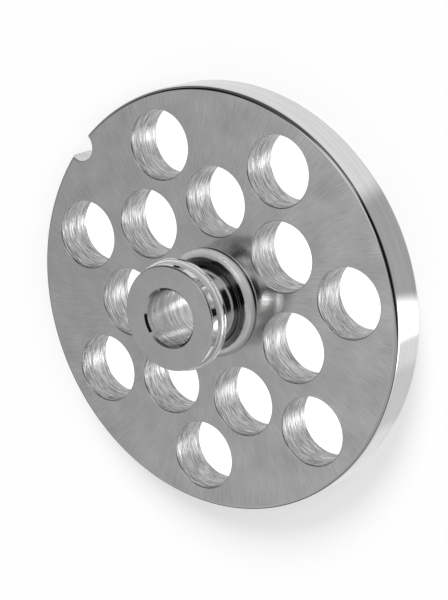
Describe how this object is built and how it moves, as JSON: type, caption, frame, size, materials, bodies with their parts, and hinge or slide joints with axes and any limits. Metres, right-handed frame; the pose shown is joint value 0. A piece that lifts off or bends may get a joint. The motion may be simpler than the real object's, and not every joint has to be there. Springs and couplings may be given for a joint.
{
  "type": "meat grinder plate",
  "caption": "Round perforated plate of a meat grinder with a turned centre hub, a through bore and a locating notch in its rim.",
  "frame": {"origin": "on the axis of the bore, at the flat back face that the plate lies on", "axes": "+Z along the axis, out of the hub; +Y from the axis towards the locating notch"},
  "size_m": [0.0984, 0.0983, 0.0244],
  "materials": {
    "stainless_steel": "ground faces, polished rim and hub, reamed holes"
  },
  "bodies": {
    "root": {"grinder_plate": "stainless_steel"}
  },
  "joints": []
}
